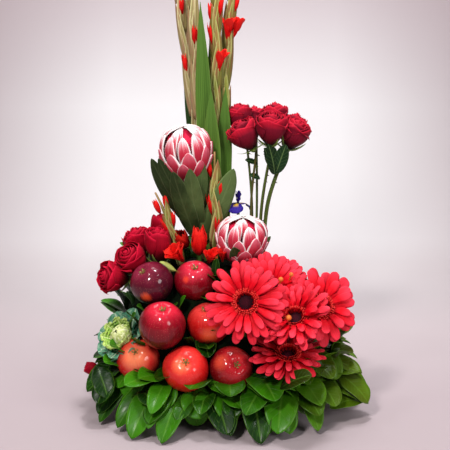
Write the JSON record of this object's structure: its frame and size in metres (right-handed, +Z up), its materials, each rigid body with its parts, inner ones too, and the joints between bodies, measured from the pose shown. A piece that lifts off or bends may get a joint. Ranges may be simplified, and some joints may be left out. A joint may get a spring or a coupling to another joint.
{
  "type": "apple and flower arrangement",
  "caption": "Low basket of glossy leaves with stacked red apples, gerberas, roses, proteas, tall gladioli, an iris and curly kale.",
  "frame": {"origin": "centre of the basket's flat underside", "axes": "+Z up along the tall flower spikes, -Y out of the front with the apples, +X to the gerberas' side"},
  "size_m": [0.4644, 0.4072, 0.89],
  "materials": {
    "wicker": "dark stained willow, matt",
    "apple_skin": "waxed apple skin, deep crimson with red mottling, glossy",
    "gerbera_petal": "velvety scarlet petal, dark maroon disc",
    "protea_bract": "pink bract with a white downy fringe",
    "rose_petal": "velvety dark crimson petal",
    "gladiolus_spike": "olive green sheaths with red petal tips",
    "sword_leaf": "ribbed mid green leaf, satin",
    "protea_leaf": "leathery grey-green leaf, matt",
    "iris_petal": "blue-violet petal with a yellow blotch",
    "gladiolus_floret": "bright scarlet petal, satin",
    "lime_bud": "yellow-green closed bud",
    "orange_bud": "orange closed bud",
    "kale_leaf": "blue-green leaf with pale veins and a cream frill",
    "glossy_leaf": "rich green waxy leaf with a paler midrib"
  },
  "bodies": {
    "root": {"basket": "wicker", "apple_1": "apple_skin", "apple_2": "apple_skin", "apple_3": "apple_skin", "apple_4": "apple_skin", "apple_5": "apple_skin", "apple_6": "apple_skin", "apple_7": "apple_skin", "gerbera_1": "gerbera_petal", "gerbera_2": "gerbera_petal", "gerbera_3": "gerbera_petal", "gerbera_4": "gerbera_petal", "gerbera_5": "gerbera_petal", "protea_head_1": "protea_bract", "protea_head_2": "protea_bract", "tall_rose_1": "rose_petal", "tall_rose_2": "rose_petal", "tall_rose_3": "rose_petal", "tall_rose_4": "rose_petal", "tall_rose_5": "rose_petal", "tall_rose_6": "rose_petal", "tall_rose_7": "rose_petal", "low_rose_1": "rose_petal", "low_rose_2": "rose_petal", "low_rose_3": "rose_petal", "low_rose_4": "rose_petal", "low_rose_5": "rose_petal", "low_rose_6": "rose_petal", "gladiolus_1": "gladiolus_spike", "gladiolus_2": "gladiolus_spike", "gladiolus_3": "gladiolus_spike", "gladiolus_4": "gladiolus_spike", "gladiolus_5": "gladiolus_spike", "gladiolus_6": "gladiolus_spike", "gladiolus_7": "gladiolus_spike", "sword_leaf_1": "sword_leaf", "sword_leaf_2": "sword_leaf", "sword_leaf_3": "sword_leaf", "sword_leaf_4": "sword_leaf", "sword_leaf_5": "sword_leaf", "sword_leaf_6": "sword_leaf", "protea_stem_1": "protea_leaf", "protea_stem_2": "protea_leaf", "iris": "iris_petal", "floret_1": "gladiolus_floret", "floret_2": "gladiolus_floret", "floret_3": "gladiolus_floret", "floret_4": "gladiolus_floret", "floret_5": "gladiolus_floret", "lime_bud": "lime_bud", "orange_bud_1": "orange_bud", "orange_bud_2": "orange_bud", "orange_bud_3": "orange_bud", "kale": "kale_leaf", "foliage": "glossy_leaf"}
  },
  "joints": []
}
